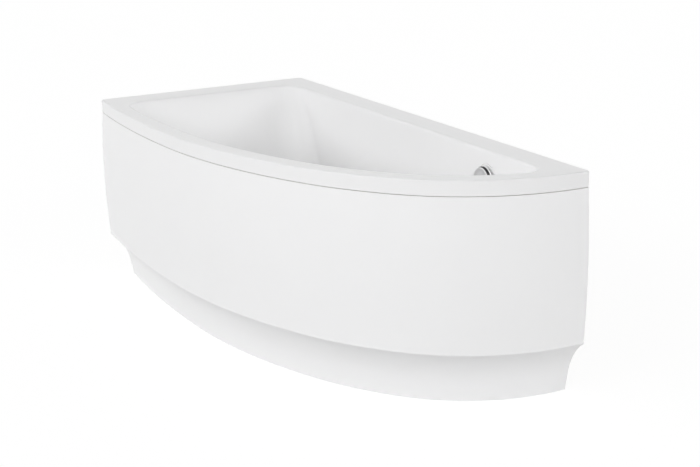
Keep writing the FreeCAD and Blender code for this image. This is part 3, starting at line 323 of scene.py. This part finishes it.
def chipboard(name):
    """Pressed wood chips, lighter and darker, some glued on edge."""
    finish = Finish(name, Specular_IOR_Level=0.3)
    flakes = finish.cells(1, finish.stretched(260, 420, 700, (0, 0, 0.5)))
    fibre = finish.noise(1, 3, 0.6, finish.stretched(900, 120, 900, (0, 0, 0.3)))
    tint = finish.ramp(
        flakes * 0.75 + fibre * 0.25,
        (0.15, (0.21, 0.12, 0.055)),
        (0.45, (0.45, 0.30, 0.155)),
        (0.7, (0.60, 0.44, 0.26)),
        (0.9, (0.71, 0.56, 0.36)),
    )
    finish.feed("Base Color", tint)
    finish.feed("Roughness", 0.72 + fibre * 0.15)
    finish.relief(flakes * 0.6 + fibre * 0.4, 0.0004)
    return finish.material


def sawn_softwood(name):
    """Sawn pine batten with upright grain."""
    finish = Finish(name, Specular_IOR_Level=0.3)
    rings = finish.node(
        "ShaderNodeTexWave",
        {"wave_type": "BANDS", "bands_direction": "X", "wave_profile": "SAW"},
        {"Vector": finish.stretched(1, 1, 0.06), "Scale": 42, "Distortion": 5.5, "Detail": 3, "Detail Scale": 1.4},
        output="Fac",
    )
    fibre = finish.noise(1, 3, 0.6, finish.stretched(900, 900, 40))
    tint = finish.ramp(
        rings * 0.7 + fibre * 0.3,
        (0.1, (0.66, 0.47, 0.27)),
        (0.55, (0.60, 0.40, 0.20)),
        (0.9, (0.42, 0.24, 0.10)),
    )
    finish.feed("Base Color", tint)
    finish.feed("Roughness", 0.62 + fibre * 0.2)
    finish.relief(rings * 0.4 + fibre * 0.6, 0.0004)
    return finish.material


def rubber(name, colour):
    """Moulded rubber, dull and a little dusty."""
    finish = Finish(name, Specular_IOR_Level=0.3)
    dust = finish.noise(45, 4, 0.6)
    fine = finish.noise(1100, 2)
    finish.feed("Base Color", finish.colours(dust, colour, [c + 0.03 for c in colour]))
    finish.feed("Roughness", 0.62 + dust * 0.2)
    finish.relief(fine, 0.00012)
    return finish.material


# ---------------------------------------------------------------- settings


class BathFinishes(bpy.types.PropertyGroup):
    """Colours of the bath's finishes."""

    shell: FloatVectorProperty(
        name="Shell acrylic",
        description="Colour of the moulded shell",
        subtype="COLOR",
        size=3,
        default=(0.84, 0.84, 0.843),
    )
    apron: FloatVectorProperty(
        name="Apron acrylic",
        description="Colour of the front apron",
        subtype="COLOR",
        size=3,
        default=(0.86, 0.86, 0.864),
    )
    fittings: FloatVectorProperty(
        name="Fittings",
        description="Colour of the plated overflow and waste",
        subtype="COLOR",
        size=3,
        default=(0.85, 0.85, 0.855),
    )
    plate: FloatVectorProperty(
        name="Overflow plate",
        description="Colour of the plate behind the knob",
        subtype="COLOR",
        size=3,
        default=(0.86, 0.86, 0.865),
    )
    drain: FloatVectorProperty(
        name="Drain",
        description="Colour of the trap and pipes",
        subtype="COLOR",
        size=3,
        default=(0.62, 0.62, 0.61),
    )


class BathStudio(bpy.types.PropertyGroup):
    """The studio round the bath."""

    ring: FloatProperty(
        name="Ring",
        description="Strength of the band of soft light all round, low over the horizon",
        default=3.5,
        min=0,
    )
    front: FloatProperty(
        name="Front lamp",
        description="Power of the soft lamp in front",
        default=12,
        min=0,
        subtype="POWER",
    )
    paper: FloatVectorProperty(
        name="Paper",
        description="Colour of the floor",
        subtype="COLOR",
        size=3,
        default=(0.76, 0.76, 0.76),
    )
    shadow: FloatProperty(
        name="Shadow",
        description="How much of the object's shadow the paper shows",
        default=0.16,
        min=0,
        max=1,
        subtype="FACTOR",
    )
    lens: FloatProperty(
        name="Lens",
        description="Focal length of the camera",
        default=64.76,
        min=10,
        max=200,
        subtype="DISTANCE_CAMERA",
    )


# ---------------------------------------------------------------- shapes


def dress(material, *names):
    """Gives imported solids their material."""
    for name in names:
        mesh = nodes[name].data
        mesh.materials.clear()
        mesh.materials.append(material)


def named(*starts):
    """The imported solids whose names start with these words."""
    return [name for name in nodes if name.startswith(starts)]


def finished(shape, name, material, body, *stands_for, smooth=35):
    """Makes a piece of a bmesh, riding on a body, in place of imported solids. Edges of less than smooth degrees are
    shaded soft."""
    bmesh.ops.recalc_face_normals(shape, faces=shape.faces)
    for face in shape.faces:
        face.smooth = True
    for edge in shape.edges:
        edge.smooth = not edge.is_manifold or edge.calc_face_angle(0) < math.radians(smooth)
    mesh = bpy.data.meshes.new(name)
    shape.to_mesh(mesh)
    shape.free()
    mesh.materials.append(material)
    piece = bpy.data.objects.new(name, mesh)
    bpy.context.scene.collection.objects.link(piece)
    weighted = piece.modifiers.new("even_shading", "WEIGHTED_NORMAL")
    weighted.keep_sharp = True
    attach(piece, body)
    if stands_for:
        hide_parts(*stands_for)
    return piece


def merged(node):
    """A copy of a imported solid's mesh with its loose triangles joined."""
    shape = bmesh.new()
    shape.from_mesh(nodes[node].data)
    bmesh.ops.remove_doubles(shape, verts=shape.verts, dist=MERGE_DISTANCE)
    return shape


def turned(profile, segments=96):
    """Spins a profile of (radius, height) points, in millimetres, about the z axis."""
    shape = bmesh.new()
    points = [shape.verts.new((radius / 1000, 0, height / 1000)) for radius, height in profile]
    edges = [shape.edges.new(pair) for pair in zip(points, points[1:])]
    bmesh.ops.spin(
        shape, geom=points + edges, cent=(0, 0, 0), axis=(0, 0, 1), angle=math.tau, steps=segments, use_merge=True
    )
    bmesh.ops.remove_doubles(shape, verts=shape.verts, dist=MERGE_DISTANCE)
    return shape


def gripped(profile, ribs, depth):
    """A turned piece with grip ribs all round its widest part, depth millimetres deep."""
    steps = 4
    shape = turned(profile, steps * ribs)
    reach = max(radius for radius, height in profile) / 1000
    slack = 0.00005
    for vert in shape.verts:
        turn = math.atan2(vert.co.y, vert.co.x) / math.tau * ribs + 0.5 / steps
        if vert.co.xy.length > reach - slack and turn % 1 < 0.5:
            vert.co.x *= 1 - depth / 1000 / reach
            vert.co.y *= 1 - depth / 1000 / reach
    return shape


def on_axis(shape, node, level=False):
    """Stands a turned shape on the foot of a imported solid, upright, or level along the y axis."""
    low, high = (Vector(corner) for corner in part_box(node))
    foot = (low + high) / 2
    if level:
        foot.y = low.y
        place = Matrix.Translation(foot) @ Matrix.Rotation(math.radians(-90), 4, "X")
    else:
        foot.z = low.z
        place = Matrix.Translation(foot)
    bmesh.ops.transform(shape, matrix=place, verts=shape.verts)
    return shape


def ribbed_hose(node, radius, bend, pitch=0.0065, rib=0.002, cuff=0.018, wall=0.0022):
    """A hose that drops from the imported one's top, turns through one bend and runs to its near end."""
    low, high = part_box(node)
    x, back, level = (low[0] + high[0]) / 2, high[1] - radius, low[2] + radius
    drop, quarter = high[2] - level - bend, bend * math.pi / 2
    length = drop + quarter + back - bend - low[1]

    def ring_place(way, width):
        turn = min(max((way - drop) / bend, 0), math.pi / 2)
        centre = Vector((x, back - bend + bend * math.cos(turn), level + bend - bend * math.sin(turn)))
        centre.z += max(drop - way, 0)
        centre.y -= max(way - drop - quarter, 0)
        return Matrix.Translation(centre) @ Matrix.Rotation(-turn, 4, "X") @ Matrix.Diagonal((width, width, 1, 1))

    count = round((length - 2 * cuff) / pitch)
    step, root = (length - 2 * cuff) / count, 1 - rib / radius
    groove_and_crest = ((0.12, root), (0.45, root), (0.6, 1), (0.97, 1))
    rings = [(0, 1), (cuff, 1)]
    for number in range(count):
        start = cuff + number * step
        rings += [(start + share * step, width) for share, width in groove_and_crest]
    rings.append((length, 1))

    shape = bmesh.new()
    ring = bmesh.ops.create_circle(shape, cap_ends=False, radius=radius, segments=32)["verts"]
    edges = shape.edges[:]
    place = ring_place(*rings[0])
    bmesh.ops.transform(shape, matrix=place, verts=ring)
    for next_ring in rings[1:]:
        grown = bmesh.ops.extrude_edge_only(shape, edges=edges)["geom"]
        ring = [part for part in grown if isinstance(part, bmesh.types.BMVert)]
        edges = [part for part in grown if isinstance(part, bmesh.types.BMEdge)]
        next_place = ring_place(*next_ring)
        bmesh.ops.transform(shape, matrix=next_place @ place.inverted(), verts=ring)
        place = next_place
    bmesh.ops.recalc_face_normals(shape, faces=shape.faces)
    bmesh.ops.solidify(shape, geom=shape.faces[:], thickness=wall)
    return shape


# ---------------------------------------------------------------- operators


class BATH_OT_shell(bpy.types.Operator):
    """Finish the moulded shell"""

    bl_idname = "bath.shell"
    bl_label = "Shell"

    def execute(self, context):
        colour = context.scene.bath_finishes.shell
        material = moulded_acrylic("shell_acrylic", colour, backed=1.0, centre=(0, 0, 1))
        finished(merged("bath_shell"), "shell_moulding", material, ROOT, "bath_shell")
        return {"FINISHED"}


class BATH_OT_apron(bpy.types.Operator):
    """Finish the apron, its battens and clips"""

    bl_idname = "bath.apron"
    bl_label = "Apron"

    def execute(self, context):
        colour = context.scene.bath_finishes.apron
        material = moulded_acrylic("apron_acrylic", colour, backed=0.85, centre=(0, 0.3, 0.3), panel=True)
        finished(merged("apron"), "apron_panel", material, ROOT, "apron")
        dress(sawn_softwood("batten_wood"), *named("apron_stiffener"))
        dress(moulded_plastic("clip_plastic", (0.70, 0.70, 0.68)), "apron_clips")
        return {"FINISHED"}


class BATH_OT_cradle(bpy.types.Operator):
    """Finish the board, rails, feet, straps and wall brackets"""

    bl_idname = "bath.cradle"
    bl_label = "Cradle"

    def execute(self, context):
        dress(chipboard("chipboard"), "base_board")
        dress(plated_steel("zinc_steel"), *named("rail_", "apron_strap", "wall_bracket", "lock_nuts"))
        dress(threaded_steel("threaded_steel"), *named("foot_stud"))
        dress(moulded_plastic("foot_plastic", (0.025, 0.025, 0.027), rough=0.45), *named("foot_pad"))
        return {"FINISHED"}


class BATH_OT_overflow(bpy.types.Operator):
    """Finish the overflow knob, its plate, housing, hose and cable"""

    bl_idname = "bath.overflow"
    bl_label = "Overflow"

    def execute(self, context):
        finishes = context.scene.bath_finishes
        self.dial(finishes)
        dress(chrome("satin_plate", finishes.plate, rough=0.46, metallic=0.05), "overflow_plate")
        dress(rubber("seal_rubber", (0.03, 0.03, 0.03)), "overflow_gasket", "waste_gasket", "plug_seal")
        dress(moulded_plastic("housing_plastic", finishes.drain), "overflow_housing")
        self.hose()
        dress(moulded_plastic("cable_sheath", (0.04, 0.04, 0.045), rough=0.5), "control_cable")
        return {"FINISHED"}

    def dial(self, finishes):
        """The knob: a plated face, a ribbed hub painted black as painted shade for the gap behind the face, with its
        spindle, and a plated ring at the back.
        """
        plated = chrome("chrome", finishes.fittings, rough=0.34, metallic=0.75)
        # Painted shade: the hub is black so that it stands for the shade in the gap between the dial's face and the
        # plate
        gap_shade_black = moulded_plastic("hub_gap_shade", (0.03, 0.03, 0.032), rough=0.5)
        face = on_axis(turned(DIAL_FACE), KNOB, level=True)
        finished(face, "overflow_dial", plated, KNOB, KNOB)
        ring = on_axis(turned(DIAL_RING), KNOB, level=True)
        finished(ring, "dial_ring", plated, KNOB)
        hub = on_axis(gripped(DIAL_HUB, ribs=40, depth=1), KNOB, level=True)
        finished(hub, "dial_hub", gap_shade_black, KNOB)

    def hose(self):
        """The ribbed hose and the union nuts at its ends."""
        grey = moulded_plastic("hose_plastic", (0.50, 0.50, 0.49), rough=0.5)
        tube = ribbed_hose("overflow_hose", HOSE_RADIUS, HOSE_BEND)
        finished(tube, "ribbed_hose", grey, ROOT, "overflow_hose", smooth=80)
        pale = moulded_plastic("nut_plastic", (0.70, 0.70, 0.69), rough=0.42)
        upper = on_axis(gripped(HOSE_COLLAR, ribs=18, depth=1.1), "hose_nut_top")
        finished(upper, "hose_nut_upper", pale, ROOT, "hose_nut_top")
        turned_round = [(radius, COLLAR_LENGTH - height) for radius, height in HOSE_COLLAR]
        lower = on_axis(gripped(turned_round, ribs=18, depth=1.1), "hose_nut_bottom", level=True)
        finished(lower, "hose_nut_lower", pale, ROOT, "hose_nut_bottom")


class BATH_OT_waste(bpy.types.Operator):
    """Finish the waste, the plug, the trap and the outlet"""

    bl_idname = "bath.waste"
    bl_label = "Waste and trap"

    def execute(self, context):
        finishes = context.scene.bath_finishes
        dress(chrome("waste_chrome", finishes.fittings, rough=0.1), "waste_flange", "pop_up_plug")
        plastic = moulded_plastic("drain_plastic", finishes.drain)
        dress(plastic, "waste_body", "trap_body", "outlet_pipe")
        nut = on_axis(gripped(TRAP_UNION, ribs=24, depth=1.2), "trap_nut")
        finished(nut, "trap_union", plastic, ROOT, "trap_nut")
        cap = on_axis(gripped(CLEANING_CAP, ribs=24, depth=1.2), "trap_cap")
        finished(cap, "cleaning_cap", plastic, ROOT, "trap_cap")
        union = on_axis(gripped(OUTLET_UNION, ribs=20, depth=1.1), "outlet_nut", level=True)
        finished(union, "outlet_union", plastic, ROOT, "outlet_nut")
        return {"FINISHED"}


class BATH_OT_stage(bpy.types.Operator):
    """Set up the world, the floor, the lamp and the camera"""

    bl_idname = "bath.stage"
    bl_label = "Studio"

    def execute(self, context):
        scene, studio = context.scene, context.scene.bath_studio
        scene.view_settings.view_transform = "Standard"
        self.world(scene, studio)
        self.floor(scene, studio)
        self.lamp(scene, studio)
        self.camera(scene, studio)
        return {"FINISHED"}

    def world(self, scene, studio):
        """White to the camera; to the bath, a band of light low over the horizon."""
        world = bpy.data.worlds.new("studio")
        scene.world = world
        sky = NodeTree(world)
        sky.tree.nodes["Background"].inputs["Color"].default_value = (1, 1, 1, 1)
        way = sky.node("ShaderNodeTexCoord", output="Generated")
        rise = sky.node("ShaderNodeSeparateXYZ", inputs={0: way}, output="Z")
        stops = [(place, (level, level, level)) for place, level in LIGHT_BAND]
        band = sky.node("ShaderNodeValToRGB", {"stops": stops}, {0: rise})
        strength = sky.node("ShaderNodeMix", inputs={0: sky.seen_directly(), 2: band * studio.ring, 3: 1.0})
        sky.link(strength, "Background", "Strength")

    def floor(self, scene, studio):
        """White paper that shows a share of the shadow, and clear from below."""
        mesh = bpy.data.meshes.new("floor")
        shape = bmesh.new()
        bmesh.ops.create_grid(shape, x_segments=1, y_segments=1, size=FLOOR_SIZE)
        shape.to_mesh(mesh)
        shape.free()
        floor = bpy.data.objects.new("floor", mesh)
        scene.collection.objects.link(floor)
        paper = Finish("studio_paper", Base_Color=(*studio.paper, 1), Roughness=1.0, Specular_IOR_Level=0.0)
        glow = paper.node("ShaderNodeEmission", inputs={"Strength": FLOOR_GLOW})
        share = paper.seen_directly() * (1 - studio.shadow)
        plain = Value(paper, paper.shader.outputs[0])
        above = paper.node("ShaderNodeMixShader", inputs={0: share, 1: plain, 2: glow})
        below = paper.node("ShaderNodeBsdfTransparent")
        underside = paper.node("ShaderNodeNewGeometry", output="Backfacing")
        surface = paper.node("ShaderNodeMixShader", inputs={0: underside, 1: above, 2: below})
        paper.link(surface, "Material Output", "Surface")
        mesh.materials.append(paper.material)

    def lamp(self, scene, studio):
        """A soft square lamp in front of the bath and above it."""
        data = bpy.data.lights.new("front_lamp", "AREA")
        data.energy = studio.front
        data.size = LAMP_SIZE
        lamp = bpy.data.objects.new("front_lamp", data)
        aim = (Vector(LAMP_TARGET) - Vector(LAMP_PLACE)).to_track_quat("-Z", "Y").to_matrix().to_4x4()
        lamp.matrix_world = Matrix.Translation(LAMP_PLACE) @ aim
        scene.collection.objects.link(lamp)

    def camera(self, scene, studio):
        """The photograph's camera, turned by its yaw from the y axis, its pitch down and its roll."""
        yaw, pitch, roll = CAMERA_YAW, CAMERA_PITCH, CAMERA_ROLL
        ahead = Vector((math.sin(yaw) * math.cos(pitch), math.cos(yaw) * math.cos(pitch), -math.sin(pitch)))
        level = Vector((math.cos(yaw), -math.sin(yaw), 0))
        above = level.cross(ahead)
        right = math.cos(roll) * level + math.sin(roll) * above
        up = math.cos(roll) * above - math.sin(roll) * level
        data = bpy.data.cameras.new("camera")
        data.lens = studio.lens
        data.sensor_width = CAMERA_SENSOR
        data.shift_x, data.shift_y = CAMERA_SHIFT
        data.clip_end = CAMERA_REACH
        camera = bpy.data.objects.new("camera", data)
        aim = Matrix((right, up, -ahead)).transposed().to_4x4()
        camera.matrix_world = Matrix.Translation(CAMERA_PLACE) @ aim
        scene.collection.objects.link(camera)
        scene.camera = camera


class BATH_PT_panel(bpy.types.Panel):
    """The bath's pieces, finishes and studio"""

    bl_idname = "BATH_PT_panel"
    bl_label = "Offset Corner Bath"
    bl_space_type = "VIEW_3D"
    bl_region_type = "UI"
    bl_category = "Bath"

    def draw(self, context):
        layout = self.layout
        for group in (context.scene.bath_finishes, context.scene.bath_studio):
            for name in group.bl_rna.properties.keys():
                if name not in ("rna_type", "name"):
                    layout.prop(group, name)
        for operator in OPERATORS:
            layout.operator(operator.bl_idname)


OPERATORS = (
    BATH_OT_shell,
    BATH_OT_apron,
    BATH_OT_cradle,
    BATH_OT_overflow,
    BATH_OT_waste,
    BATH_OT_stage,
)
CLASSES = (BathFinishes, BathStudio, *OPERATORS, BATH_PT_panel)


def register():
    for cls in CLASSES:
        bpy.utils.register_class(cls)
    bpy.types.Scene.bath_finishes = PointerProperty(type=BathFinishes)
    bpy.types.Scene.bath_studio = PointerProperty(type=BathStudio)


def unregister():
    del bpy.types.Scene.bath_studio
    del bpy.types.Scene.bath_finishes
    for cls in reversed(CLASSES):
        bpy.utils.unregister_class(cls)


def main():
    register()
    bpy.ops.bath.shell()
    bpy.ops.bath.apron()
    bpy.ops.bath.cradle()
    bpy.ops.bath.overflow()
    bpy.ops.bath.waste()
    bpy.ops.bath.stage()


if __name__ == "__main__":
    main()
